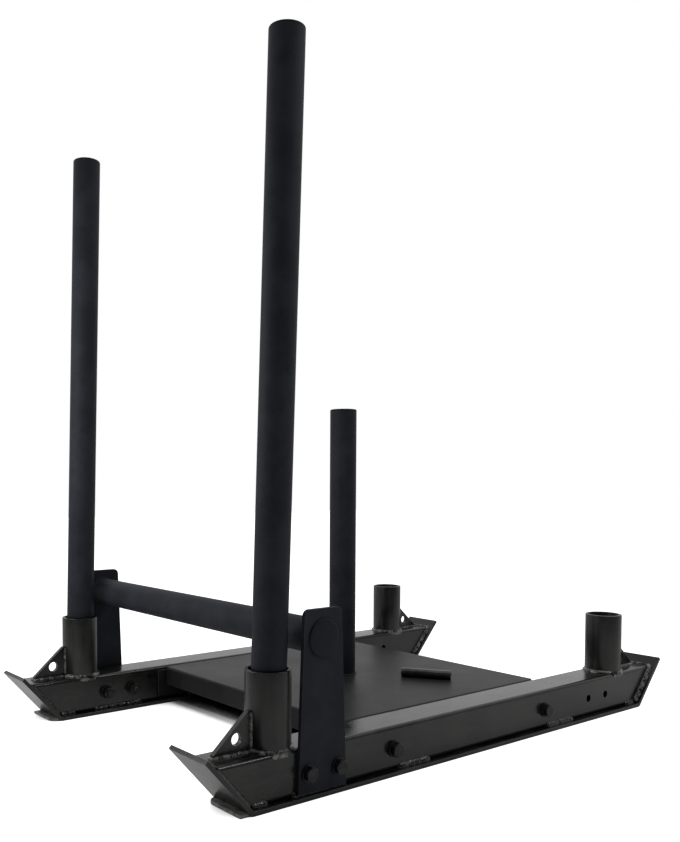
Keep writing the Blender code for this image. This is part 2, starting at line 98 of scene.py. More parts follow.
WASHER_RADIUS = 0.012
WASHER_BORE = SHANK + 0.0006
CREVICE = 0.013               # how far from a corner its painted shade reaches
CREVICE_SHADE = 0.15          # the share of the finish's colour left in that painted shade
CREVICE_ROUGHNESS = 0.95
EDGE_HIGHLIGHT = 3.2             # how much paler than the dull shade an edge's painted highlight is
HAIRLINE = (5, 420, 5)        # how fine the deck's scratches are along, across and up
BRUSHED = {                   # how fine the enamel's brush marks are, and its roughness
    "level": ((18, 170, 110), (0.17, 0.28)),
    "upright": ((120, 120, 16), (0.26, 0.38)),
}
SMOOTH = math.radians(35)     # edges that turn less than this are shaded smooth
FASTENER_SMOOTH = math.radians(25)
BEAD_SMOOTH = math.radians(70)
UP = Vector((0, 0, 1))


def linear(hex_colour):
    """Linear RGB of an sRGB hex colour."""
    channels = [int(hex_colour[i:i + 2], 16) / 255 for i in (0, 2, 4)]
    return [c / 12.92 if c <= 0.04045 else ((c + 0.055) / 1.055) ** 2.4 for c in channels]


def length(name, description, default):
    """A property for a length in metres."""
    return bpy.props.FloatProperty(name=name, description=description, default=default, min=0,
                                   precision=5, unit="LENGTH")


def colour(name, description, hex_colour):
    """A property for a colour, from its sRGB hex code."""
    return bpy.props.FloatVectorProperty(name=name, description=description, default=linear(hex_colour),
                                         min=0, max=1, size=3, subtype="COLOR")


def level(name, description, default, unit="NONE"):
    """A property for a brightness, a share or a lamp's power."""
    return bpy.props.FloatProperty(name=name, description=description, default=default, min=0, unit=unit)


class SledSizes(bpy.types.PropertyGroup):
    """Sizes of the detail that is added to the solids."""

    edge: length("Edge rounding", "Radius of the plates' and tubes' cut edges", 0.0007)
    bead: length("Weld bead", "Leg of a weld bead on each face", 0.0042)
    ripple: length("Ripple spacing", "Between two ripples of a bead, coarser than the real 2 mm", 0.0040)
    ripple_height: length("Ripple height", "Height of a bead's ripples", 0.00026)
    pitch: length("Thread pitch", "Pitch of the M12 bolts' thread", 0.00175)
    facets: bpy.props.IntProperty(name="Facets", description="Facets round a tube", default=96, min=12)


class SledColours(bpy.types.PropertyGroup):
    """Colours of the finishes."""

    enamel: colour("Enamel", "Semi-gloss black enamel of the skids", "0e0e0e")
    enamel_dull: colour("Dull enamel", "The enamel where it is rubbed or dusty", "272725")
    # painted highlight: pale grey dots that stand in for the weld beads' glints
    weld_glint_dots: colour("Rubbed welds", "Ripples of the beads where the enamel is rubbed thin", "858583")
    scraped: colour("Scraped steel", "Wear strips' rear ends, where the ground has scraped them", "9a9a97")
    scraped_dark: colour("Dark scraped steel", "Their darker clouds", "6c6c6a")
    powder: colour("Powder coat", "Matte black powder coat of the tubes", "2b2d33")
    powder_dull: colour("Pale powder coat", "The powder coat in its thinner clouds", "33353c")
    deck: colour("Deck", "Satin black coat of the deck", "252625")
    deck_scratch: colour("Deck scratches", "Hair scratches left by weight plates", "484847")
    steel: colour("Bolts", "Black oxide on the bolts", "313133")
    handled: colour("Tow pin", "Black oxide on the pin, rubbed by hands", "4b4b4d")
    plastic: colour("Plugs", "Moulded black plastic of the end caps", "181a21")
    floor: colour("Floor", "Pale floor", "e9e9e8")


class SledStage(bpy.types.PropertyGroup):
    """Light levels and the camera."""

    front_wall: level("Front", "Brightness of the room behind the camera", 0.10)
    back_wall: level("Back", "Brightness of the room behind the sled", 0.80)
    ceiling: level("Ceiling", "Brightness of the room overhead", 0.6)
    mirrored_floor: level("Mirrored floor", "How much of the floor's white shows in reflections", 0.08)
    key: level("Softbox", "Power of the softbox overhead", 4.8, "POWER")
    fill: level("Side light", "Power of the light on the left", 3, "POWER")
    lens: bpy.props.FloatProperty(name="Lens", description="Focal length of the camera in millimetres",
                                  default=37.61, min=1, unit="CAMERA")


def add_node(tree, kind, inputs=None, **settings):
    """Adds a node. Inputs are values or output sockets, by socket name or number."""
    made = tree.nodes.new(kind)
    for key, value in settings.items():
        setattr(made, key, value)
    for key, value in (inputs or {}).items():
        if isinstance(value, bpy.types.NodeSocket):
            tree.links.new(value, made.inputs[key])
        else:
            made.inputs[key].default_value = value
    return made


def blended(tree, share, first, second):
    """The colour output of a Mix node, whose colour sockets are its last pair."""
    mix = add_node(tree, "ShaderNodeMix", data_type="RGBA")
    for number, value in ((0, share), (6, first), (7, second)):
        if isinstance(value, bpy.types.NodeSocket):
            tree.links.new(value, mix.inputs[number])
        else:
            mix.inputs[number].default_value = value
    return mix.outputs[2]


def ranged(tree, value, low, high, to_low=0.0, to_high=1.0):
    """A value whose range from low to high is stretched to another one, and cut off beyond it."""
    return add_node(tree, "ShaderNodeMapRange", {"Value": value, "From Min": low, "From Max": high,
                                                "To Min": to_low, "To Max": to_high}).outputs["Result"]


def coat(name, base, dull, roughness, cloud, grain, relief, edge_highlight=0.0, scratched=None, brushed=None,
         painted_crevice_shade=True, **sockets):
    """A finish on metal or plastic: clouds of two shades, uneven gloss and a grain in relief.

    Roughness is a pair, from the clouds' dark side to their pale side. Cloud, grain and relief are in metres.
    Brushed is how fine the brush marks are along X, Y and Z. Crevices get a painted shade: darker and matte.
    """
    if name in bpy.data.materials:
        return bpy.data.materials[name]
    material = bpy.data.materials.new(name)
    material.use_nodes = True
    tree = material.node_tree
    shader = tree.nodes["Principled BSDF"]
    for key, value in sockets.items():
        shader.inputs[key.replace("_", " ")].default_value = value
    place = add_node(tree, "ShaderNodeTexCoord").outputs["Object"]
    clouds = add_node(tree, "ShaderNodeTexNoise", {"Vector": place, "Scale": 1 / cloud, "Detail": 6,
                                                  "Roughness": 0.62}).outputs["Fac"]
    fine = add_node(tree, "ShaderNodeTexNoise", {"Vector": place, "Scale": 1 / grain, "Detail": 3,
                                                "Roughness": 0.6}).outputs["Fac"]
    if brushed:
        along = add_node(tree, "ShaderNodeMapping", {"Vector": place, "Scale": brushed}).outputs["Vector"]
        marks = add_node(tree, "ShaderNodeTexNoise", {"Vector": along, "Scale": 1, "Detail": 4})
        clouds = add_node(tree, "ShaderNodeMix", {0: 0.4, 2: clouds, 3: marks.outputs["Fac"]},
                          data_type="FLOAT").outputs[0]
    paint = blended(tree, ranged(tree, clouds, 0.43, 0.60), (*base, 1), (*dull, 1))
    gloss = ranged(tree, clouds, 0.34, 0.70, *roughness)
    # painted highlight: the rounded edges are painted paler, in broken patches
    if edge_highlight:
        edge = add_node(tree, "ShaderNodeAttribute", attribute_name="edge").outputs["Fac"]
        patches = ranged(tree, fine, 0.35, 0.65, 0.3, edge_highlight)
        broken = add_node(tree, "ShaderNodeMath", {0: edge, 1: patches}, operation="MULTIPLY").outputs[0]
        paint = blended(tree, broken, paint, (*[EDGE_HIGHLIGHT * c for c in dull], 1))
    if scratched:
        for turn in (0.5, -0.35):
            along = add_node(tree, "ShaderNodeMapping", {"Vector": place, "Rotation": (0, 0, turn),
                                                        "Scale": HAIRLINE}).outputs["Vector"]
            hair = add_node(tree, "ShaderNodeTexNoise", {"Vector": along, "Scale": 1, "Detail": 2})
            shares = ranged(tree, hair.outputs["Fac"], 0.66, 0.72, 0, 0.25)
            paint = blended(tree, shares, paint, (*scratched, 1))
    # painted shade: ambient occlusion darkens corners and creases, where shade falls, and makes them matte
    if painted_crevice_shade:
        gap = add_node(tree, "ShaderNodeAmbientOcclusion", {"Distance": CREVICE}, samples=8).outputs["AO"]
        clear = ranged(tree, gap, 0.40, 0.63)
        paint = blended(tree, clear, (*[CREVICE_SHADE * c for c in base], 1), paint)
        gloss = add_node(tree, "ShaderNodeMix", {0: clear, 2: CREVICE_ROUGHNESS, 3: gloss},
                         data_type="FLOAT").outputs[0]
    bump = add_node(tree, "ShaderNodeBump", {"Height": fine, "Distance": relief, "Strength": 1.0})
    tree.links.new(paint, shader.inputs["Base Color"])
    tree.links.new(gloss, shader.inputs["Roughness"])
    tree.links.new(bump.outputs["Normal"], shader.inputs["Normal"])
    return material


def gloss_enamel(way="level", painted_crevice_shade=True):
    """Brushed-on semi-gloss enamel: soft wide reflections, level or upright marks, and a painted highlight on
    edges.
    """
    colours = bpy.context.scene.sled_colours
    marks, gloss = BRUSHED[way]
    name = f"semi_gloss_enamel_{way}" + ("" if painted_crevice_shade else "_open")
    return coat(name, colours.enamel, colours.enamel_dull, gloss, cloud=0.055,
                grain=0.0040, relief=0.00020, edge_highlight=0.45, brushed=marks, painted_crevice_shade=painted_crevice_shade, IOR=1.5)


def weld_enamel(rubbed=True):
    """The same enamel over weld beads: it shines more; rubbed beads get pale grey dots painted on as glints.
    """
    colours = bpy.context.scene.sled_colours
    name, dots = ("glint_painted_weld", colours.weld_glint_dots) if rubbed else ("painted_weld", colours.enamel_dull)
    return coat(name, colours.enamel, dots, (0.12, 0.26), cloud=0.008, grain=0.0015, relief=0.00008,
                painted_crevice_shade=False, IOR=1.5)


def scraped_steel():
    """The wear strip's end, scraped through its enamel by the ground: pale and dull, with dark clouds."""
    colours = bpy.context.scene.sled_colours
    return coat("scraped_wear_strip", colours.scraped_dark, colours.scraped, (0.40, 0.55), cloud=0.012,
                grain=0.0020, relief=0.00015, painted_crevice_shade=False, Metallic=0.2)


def powder_coat():
    """Electrostatic powder coat, baked matte: no clear reflection, a fine even sand grain."""
    colours = bpy.context.scene.sled_colours
    return coat("matte_black_powder_coat", colours.powder, colours.powder_dull, (0.52, 0.62), cloud=0.060,
                grain=0.0016, relief=0.00010, edge_highlight=0.25, IOR=1.5, Specular_IOR_Level=0.08)


def deck_coat():
    """Satin powder coat on sheet steel: a wide sheen that brightens at a low angle, and hair scratches."""
    colours = bpy.context.scene.sled_colours
    return coat("satin_black_sheet_coat", colours.deck, [1.3 * c for c in colours.deck], (0.36, 0.44),
                cloud=0.090, grain=0.0020, relief=0.00004, edge_highlight=0.45, scratched=colours.deck_scratch,
                IOR=1.5, Specular_IOR_Level=0.08)


def black_oxide(handled=False):
    """Oil-blackened steel: dark, with the hard glints of bare metal, and paler and smoother if handled."""
    colours = bpy.context.scene.sled_colours
    name, base, gloss = (("handled_black_steel", colours.handled, (0.14, 0.22)) if handled
                         else ("black_oxide_steel", colours.steel, (0.30, 0.44)))
    return coat(name, base, [1.5 * c for c in base], gloss, cloud=0.010, grain=0.0012, relief=0.00005,
                edge_highlight=0.5, Metallic=0.85)


def moulded_plastic():
    """Injection-moulded polyethylene with a spark-eroded skin: even black and a dull sheen."""
    colours = bpy.context.scene.sled_colours
    return coat("moulded_black_plastic", colours.plastic, [1.25 * c for c in colours.plastic], (0.44, 0.54),
                cloud=0.020, grain=0.0012, relief=0.00006, painted_crevice_shade=False, IOR=1.5, Specular_IOR_Level=0.17)


def piece(name, shape, material, body=STEEL, replaces=(), sharp=SMOOTH):
    """Makes a bmesh a finished piece that rides on a body."""
    mesh = bpy.data.meshes.new(name)
    shape.to_mesh(mesh)
    shape.free()
    mesh.shade_smooth()
    mesh.set_sharp_from_angle(angle=sharp)
    mesh.materials.append(material)
    made = bpy.data.objects.new(name, mesh)
    bpy.context.scene.collection.objects.link(made)
    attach(made, body)
    if replaces:
        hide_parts(*replaces)
    return made


def eased(shape):
    """Rounds the sharp edges of a bmesh, and marks them for a painted highlight."""
    highlight_faces = shape.faces.layers.float.new("edge")
    edges = [edge for edge in shape.edges if edge.is_manifold and edge.calc_face_angle() > SMOOTH]
    made = bmesh.ops.bevel(shape, geom=edges, offset=bpy.context.scene.sled_sizes.edge, offset_type="OFFSET",
                           segments=3, profile=0.5, affect="EDGES", clamp_overlap=True, material=-1)
    for face in made["faces"]:
        face[highlight_faces] = 1.0
    return shape


def refined(node, material, body=STEEL):
    """Stands in for a CAD node: the same faces, with every cut edge rounded."""
    shape = bmesh.new()
    shape.from_mesh(frame["nodes"][node].data)
    bmesh.ops.remove_doubles(shape, verts=shape.verts, dist=MERGE)
    bmesh.ops.dissolve_limit(shape, angle_limit=math.radians(0.5), verts=shape.verts, edges=shape.edges)
    thing = piece(f"{node}_finished", eased(shape), material, body, [node])
    flat = thing.modifiers.new("flat faces", "WEIGHTED_NORMAL")
    flat.keep_sharp = True
    return thing


def turned(profile, place):
    """A bmesh turned about Z from points (radius, height), then put in its place."""
    shape = bmesh.new()
    verts = [shape.verts.new((radius, 0, height)) for radius, height in profile]
    for first, second in zip(verts, verts[1:]):
        shape.edges.new((first, second))
    bmesh.ops.spin(shape, geom=shape.verts[:] + shape.edges[:], cent=(0, 0, 0), axis=(0, 0, 1),
                   dvec=(0, 0, 0), angle=2 * math.pi, steps=bpy.context.scene.sled_sizes.facets,
                   use_merge=True, use_duplicate=False)
    bmesh.ops.remove_doubles(shape, verts=shape.verts, dist=MERGE)
    bmesh.ops.recalc_face_normals(shape, faces=shape.faces)
    bmesh.ops.transform(shape, matrix=place, verts=shape.verts)
    return shape


def bend(centre, radius, start, end, steps=4):
    """Points of an arc in a profile, angles in degrees."""
    turns = [math.radians(start + (end - start) * i / steps) for i in range(steps + 1)]
    return [(centre[0] + radius * math.cos(a), centre[1] + radius * math.sin(a)) for a in turns]


def axis_of(node, axis):
    """(foot, length, radius) of a round CAD node about an axis through its middle."""
    axis = Vector(axis).normalized()
    points = {tuple(round(c, 7) for c in vert.co) for vert in frame["nodes"][node].data.vertices}
    points = [Vector(point) for point in sorted(points)]
    low = min(point.dot(axis) for point in points)
    high = max(point.dot(axis) for point in points)
    foot_ring = [point for point in points if point.dot(axis) - low < 1e-4]
    foot = sum(foot_ring, Vector()) / len(foot_ring)
    radius = max(((point - foot) - axis * (point - foot).dot(axis)).length for point in points)
    return foot, high - low, radius


def standing(foot, axis):
    """The matrix that stands a shape made along Z on its foot, along an axis."""
    return Matrix.Translation(foot) @ Vector(axis).to_track_quat("Z", "Y").to_matrix().to_4x4()


def pipe_profile(outer, wall, height, rim):
    """Half section of a tube whose rims are rounded."""
    inner = outer - wall
    return (bend((outer - rim, height - rim), rim, 90, 0) + bend((outer - rim, rim), rim, 0, -90)
            + bend((inner + rim, rim), rim, 270, 180) + bend((inner + rim, height - rim), rim, 180, 90)
            + [(outer - rim, height)])


def cap_profile(flange, stem):
    """Half section of a tube plug: a flange with a soft edge and a slightly domed top, and its stem."""
    flat = flange - CAP_EDGE
    top = [(flat * i / 5, CAP_THICK - CAP_CROWN * (i / 5) ** 2) for i in range(6)]
    rim = bend((flat, CAP_THICK - CAP_CROWN - CAP_EDGE), CAP_EDGE, 90, 0, 5)
    return top + rim[1:] + [(flange, 0.0), (stem, 0.0), (stem, -CAP_DEPTH), (0, -CAP_DEPTH)]


def upright_axis(side):
    """The way an upright slides out of its socket."""
    joint = next(joint for joint in frame["joints"] if joint["child"] == f"{side}_upright")
    return Vector(joint["axis"]).normalized()


def close(shape):
    """Closes a bmesh's open rims and turns its faces outward."""
    rims = [edge for edge in shape.edges if edge.is_boundary]
    if rims:
        bmesh.ops.holes_fill(shape, edges=rims, sides=0)
    bmesh.ops.recalc_face_normals(shape, faces=shape.faces)


def add_part(shape, part):
    """Adds one bmesh to another and frees it."""
    scrap = bpy.data.meshes.new("part")
    part.to_mesh(scrap)
    part.free()
    shape.from_mesh(scrap)
    bpy.data.meshes.remove(scrap)


def bead(shape, stations, seed, size, closed=False, lump=0.0002):
    """Adds a weld bead to a bmesh, along stations (corner, rise, run, outward).

    Rise and run reach from the corner to the bead's two toes. The surface bulges outward in ripples that
    bow along the bead, with lumps this high, and the hidden side goes a little way into the metal.
    """
    sizes = bpy.context.scene.sled_sizes
    waver, waver_length = 0.14, 0.009         # of the bead's width
    wander, wander_length = 0.0009, 0.012     # of the ripples' spacing
    lump_length = 0.0032
    start_width = 0.35                        # of the bead's ends, as a share of its width
    bow = 0.45                                # of a ripple's middle, in ripples
    fullness = 0.16                           # height of the bead's middle, as a share of its leg
    lift, root = 0.00005, 0.0006              # above the metal at the toes, and into it on the hidden side
    across = 8
    count = len(stations)
    places = [0.0]
    for (corner, _, _, outward), (other, _, _, turned_to) in zip(stations, stations[1:]):
        places.append(places[-1] + ((other + turned_to * size) - (corner + outward * size)).length)
    total = places[-1]
    part = bmesh.new()
    bmesh.ops.create_grid(part, x_segments=count - 1, y_segments=across + 1, size=1)
    for vert in part.verts:
        row = round((vert.co.x + 1) / 2 * (count - 1))
        column = round((vert.co.y + 1) / 2 * (across + 1))
        corner, rise, run, outward = stations[row]
        here = places[row]
        if column in (0, across + 1):
            vert.co = corner - outward * root
            continue
        if closed:
            turn = 2 * math.pi * here / total
            swell = 1 + waver * noise.noise(Vector((math.cos(turn) * 4, math.sin(turn) * 4, seed)))
        else:
            end = min(here, total - here)
            swell = 1 + waver * noise.noise(Vector((here / waver_length, seed, 0)))
            swell *= start_width + (1 - start_width) * math.sqrt(min(1, end / (1.3 * size)))
        share = (column - 1) / (across - 1)
        crown = 4 * share * (1 - share)
        wave = here + bow * sizes.ripple * crown
        if closed:
            wave *= round(total / sizes.ripple) * sizes.ripple / total
        else:
            wave += wander * noise.noise(Vector((here / wander_length, seed + 9, 0)))
        scallop = sizes.ripple_height * abs(math.sin(math.pi * wave / sizes.ripple))
        spatter = lump * (0.5 + noise.noise(Vector((here / lump_length, share * 2.2, seed + 4))))
        height = crown * (fullness * size * swell + scallop + spatter) + lift
        vert.co = corner + (rise * (1 - share) + run * share) * swell + outward * height
    bmesh.ops.remove_doubles(part, verts=part.verts, dist=2 * MERGE)
    close(part)
    add_part(shape, part)


def tube_drop(beside):
    """How far a skid tube's top has dropped, this far beside its middle, at its rounded corner."""
    over = min(TUBE_CORNER, max(0.0, beside - (TUBE_HALF - TUBE_CORNER)))
    return TUBE_CORNER - math.sqrt(TUBE_CORNER ** 2 - over ** 2)


def line(start, end, step=0.0007):
    """Points from start to end, evenly spaced."""
    start, end = Vector(start), Vector(end)
    count = max(2, round((end - start).length / step))
    return [start.lerp(end, i / count) for i in range(count + 1)]


def corner_station(corner, first, second, size):
    """A station of a bead in the corner between two faces with these outward normals."""
    rise = (second - first * first.dot(second)).normalized() * size
    run = (first - second * second.dot(first)).normalized() * size
    return corner, rise, run, (rise + run).normalized()


def ring_stations(centre, radius, axis, size, steps=216):
    """Stations round a tube's foot, on a flat face that looks along the axis."""
    axis = Vector(axis)
    side = axis.orthogonal().normalized()
    ahead = axis.cross(side)
    stations = []
    for i in range(steps + 1):
        turn = 2 * math.pi * i / steps
        out = side * math.cos(turn) + ahead * math.sin(turn)
        stations.append(corner_station(centre + out * radius, out, axis, size))
    return stations


class SLED_OT_skids(bpy.types.Operator):
    """Finishes the skid tubes, their runners, tow plates and sockets"""

    bl_idname = "sled.skids"
    bl_label = "Skids"

    def heel(self, side, sign):
        """The end of the wear strip, which reaches out behind the rear tip's foot."""
        low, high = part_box(f"{side}_runner")
        middle = (low.y + high.y) / 2
        inner = bend((HEEL_END + HEEL_CORNER, HEEL_HALF - HEEL_CORNER), HEEL_CORNER, 90, 180, 8)
        outline = [(HEEL_START, HEEL_HALF), *inner, (HEEL_END, -HEEL_HALF), (HEEL_START, -HEEL_HALF)]
        shape = bmesh.new()
        foot = shape.faces.new([shape.verts.new((x, middle - sign * across, 0)) for x, across in outline])
        made = bmesh.ops.extrude_face_region(shape, geom=[foot])["geom"]
        top = [item for item in made if isinstance(item, bmesh.types.BMVert)]
        bmesh.ops.translate(shape, verts=top, vec=UP * HEEL_THICK)
        bmesh.ops.recalc_face_normals(shape, faces=shape.faces)
        piece(f"{side}_runner_heel", eased(shape), scraped_steel())

    def execute(self, context):
        paint = gloss_enamel()
        for side, sign in SIDES.items():
            refined(f"{side}_skid_tube", paint)
            refined(f"{side}_runner", gloss_enamel(painted_crevice_shade=False))
            self.heel(side, sign)
            for end in ENDS:
                refined(f"{side}_{end}_tow_plate", paint)
                node = f"{side}_{end}_socket"
                foot, height, radius = axis_of(node, UP)
                shape = turned(pipe_profile(radius, SOCKET_WALL, height, HEAVY_RIM), standing(foot, UP))
                piece(f"{node}_finished", shape, gloss_enamel("upright"), replaces=[node])
        return {"FINISHED"}


class SLED_OT_deck(bpy.types.Operator):
    """Finishes the folded deck"""

    bl_idname = "sled.deck"
    bl_label = "Deck"

    def execute(self, context):
        refined("deck_tray", deck_coat())
        return {"FINISHED"}


class SLED_OT_tubes(bpy.types.Operator):
    """Turns the post, the uprights, the push bar and their end caps"""

    bl_idname = "sled.tubes"
    bl_label = "Tubes and caps"

    def tube(self, node, axis, body=STEEL):
        """Turns a tube in its solid's place, and returns its foot, length and radius."""
        foot, height, radius = axis_of(node, axis)
        shape = turned(pipe_profile(radius, PIPE_WALL, height, PIPE_RIM), standing(foot, axis))
        piece(f"{node}_finished", shape, powder_coat(), body, [node])
        return foot, height, radius

    def cap(self, node, end, axis, flange, radius, body=STEEL):
        """Turns a cap that sits on the end of a tube of this radius."""
        shape = turned(cap_profile(flange, radius - CAP_STEP), standing(end + axis * GAP, axis))
        piece(f"{node}_finished", shape, moulded_plastic(), body, [node])

    def execute(self, context):
        foot, height, radius = self.tube("weight_post", UP)
        self.cap("weight_post_cap", foot + UP * height, UP, radius, radius)
        for side in SIDES:
            axis = upright_axis(side)
            foot, height, radius = self.tube(f"{side}_upright", axis, f"{side}_upright")
            self.cap(f"{side}_upright_cap", foot + axis * height, axis, radius, radius, f"{side}_upright")
            refined(f"{side}_push_bar_bracket", powder_coat())
        across = Vector((0, 1, 0))
        foot, width, radius = self.tube("push_bar", across)
        for side, sign in SIDES.items():
            low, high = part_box(f"{side}_bar_cap")
            end = foot + across * (width if sign > 0 else 0)
            self.cap(f"{side}_bar_cap", end, across * sign, (high.x - low.x) / 2, radius)
        return {"FINISHED"}


def hexagonal(levels, place, turn):
    """A bmesh with hexagonal and round sections, from levels (radius, height, slope).

    A radius of None stands for the hexagon. A ring has 48 points. On a chamfered end the hexagon's points
    drop by how far out they are, times the slope, which gives the flats their curved edges. A last level
    that repeats the first closes a bore.
    """
    shape = bmesh.new()
    bmesh.ops.create_circle(shape, cap_ends=False, radius=1, segments=48)
    ring = shape.edges[:]
    for number, (radius, height, slope) in enumerate(levels):
        if number:
            made = bmesh.ops.extrude_edge_only(shape, edges=ring)["geom"]
            fresh = {item for item in made if isinstance(item, bmesh.types.BMVert)}
            ring = [item for item in made
                    if isinstance(item, bmesh.types.BMEdge) and set(item.verts) <= fresh]
        for vert in {vert for edge in ring for vert in edge.verts}:
            angle = math.atan2(vert.co.y, vert.co.x)
            flat = HEX_FLATS / 2 / math.cos((angle - turn) % (math.pi / 3) - math.pi / 6)
            reach = flat if radius is None else radius
            drop = slope * max(0.0, reach - FACE_RADIUS) * math.tan(math.radians(30))
            vert.co = (reach * math.cos(angle), reach * math.sin(angle), height + drop)
    bmesh.ops.remove_doubles(shape, verts=shape.verts, dist=MERGE)
    close(shape)
    bmesh.ops.transform(shape, matrix=place, verts=shape.verts)
    return shape


def threaded(reach, place):
    """A bmesh of a bolt's threaded end, which reaches down from its chamfered tip at the origin."""
    pitch = bpy.context.scene.sled_sizes.pitch
    root = SHANK - THREAD_DEPTH
    tip_edge = root - 0.0004
    steps = 36
    turns = math.ceil(reach / pitch) + 2
    shape = bmesh.new()
    start = -reach - pitch
    section = [(root, 0), (SHANK, 0.42 * pitch), (SHANK, 0.58 * pitch), (root, pitch)]
    verts = [shape.verts.new((radius, 0, start + height)) for radius, height in section]
    for first, second in zip(verts, verts[1:]):
        shape.edges.new((first, second))
    bmesh.ops.spin(shape, geom=shape.verts[:] + shape.edges[:], cent=(0, 0, 0), axis=(0, 0, 1),
                   dvec=(0, 0, pitch / steps), angle=2 * math.pi * turns, steps=steps * turns,
                   use_merge=False, use_duplicate=False)
    bmesh.ops.remove_doubles(shape, verts=shape.verts, dist=2 * MERGE)
    for end, way in ((-reach, -1), (0.0, 1)):
        bmesh.ops.bisect_plane(shape, geom=shape.verts[:] + shape.edges[:] + shape.faces[:], dist=1e-7,
                               plane_co=(0, 0, end), plane_no=(0, 0, way), clear_outer=True)
    for vert in shape.verts:
        reached = math.hypot(vert.co.x, vert.co.y)
        limit = tip_edge - vert.co.z
        if reached > limit:
            vert.co.x *= limit / reached
            vert.co.y *= limit / reached
    close(shape)
    bmesh.ops.transform(shape, matrix=place, verts=shape.verts)
    return shape


class SLED_OT_fasteners(bpy.types.Operator):
    """Models the hex bolts with their threads, the washers and the nuts"""

    bl_idname = "sled.fasteners"
    bl_label = "Fasteners"

    def finished(self, node, shape):
        piece(f"{node}_finished", shape, black_oxide(), replaces=[node],
              sharp=FASTENER_SMOOTH)

    def bolt(self, node, out, turn):
        low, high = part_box(node)
        middle = (low + high) / 2
        reach = (high - low).y
        foot = middle + out * (reach / 2 - HEAD_HEIGHT)
        tip = middle - out * reach / 2
        shank_end = THREAD_LENGTH - reach + HEAD_HEIGHT
        head = hexagonal([(SHANK, shank_end, 0), (SHANK, 0, 0), (None, 0, 0), (None, HEAD_HEIGHT, -1),
                          (FACE_RADIUS, HEAD_HEIGHT, 0)], standing(foot, out), turn)
        add_part(head, threaded(THREAD_LENGTH + 0.001, standing(tip, -out)))
        self.finished(node, head)

    def washer(self, node, out):
        low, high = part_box(node)
        thick = (high - low).y
        profile = pipe_profile(WASHER_RADIUS, WASHER_RADIUS - WASHER_BORE, thick, PIPE_RIM)
        self.finished(node, turned(profile, standing((low + high) / 2 - out * thick / 2, out)))

    def nut(self, node, out, turn):
        low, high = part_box(node)
        thick = (high - low).y
        bore = SHANK + 0.0002
        mouth = bore + THREAD_DEPTH
        levels = [(FACE_RADIUS, 0, 0), (None, 0, 1), (None, thick, -1), (FACE_RADIUS, thick, 0),
                  (mouth, thick, 0), (bore, thick - THREAD_DEPTH, 0), (bore, THREAD_DEPTH, 0),
                  (mouth, 0, 0), (FACE_RADIUS, 0, 0)]
        place = standing((low + high) / 2 - out * thick / 2, out)
        self.finished(node, hexagonal(levels, place, turn))

    def execute(self, context):
        for side, sign in SIDES.items():
            out = Vector((0, sign, 0))
            for row, stack in enumerate(("deck", "bracket")):
                for end, way in ENDS.items():
                    name = f"{side}_{stack}_{end}"
                    # Each stack is tightened to an angle of its own
                    turn = math.pi * noise.noise(Vector((3.7 * row + sign, 2.3 * way, 0.5)))
                    self.bolt(f"{name}_bolt", out, turn)
                    self.washer(f"{name}_head_washer", out)
                    self.washer(f"{name}_nut_washer", out)
                    self.nut(f"{name}_nut", out, turn * 1.7)
        return {"FINISHED"}


class SLED_OT_pin(bpy.types.Operator):
    """Turns the loose tow pin, a short length of thick tube"""

    bl_idname = "sled.pin"
    bl_label = "Tow pin"

    def execute(self, context):
        low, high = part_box("tow_pin")
        radius = (high - low).z / 2
        points = {tuple(round(c, 7) for c in vert.co) for vert in frame["nodes"]["tow_pin"].data.vertices}
        crest = [Vector(point) for point in points if high.z - point[2] < 1e-5]
        first, second = min(crest, key=lambda point: point.x), max(crest, key=lambda point: point.x)
        heading = (second - first).normalized()
        middle = (low + high) / 2
        half = max((Vector(point) - middle).dot(heading) for point in points)
        foot = middle - heading * half
        profile = pipe_profile(radius, radius - PIN_BORE, 2 * half, HEAVY_RIM)
        shape = turned(profile, standing(foot, heading))
        piece("tow_pin_finished", shape, black_oxide(handled=True), "tow_pin", ["tow_pin"])
        return {"FINISHED"}


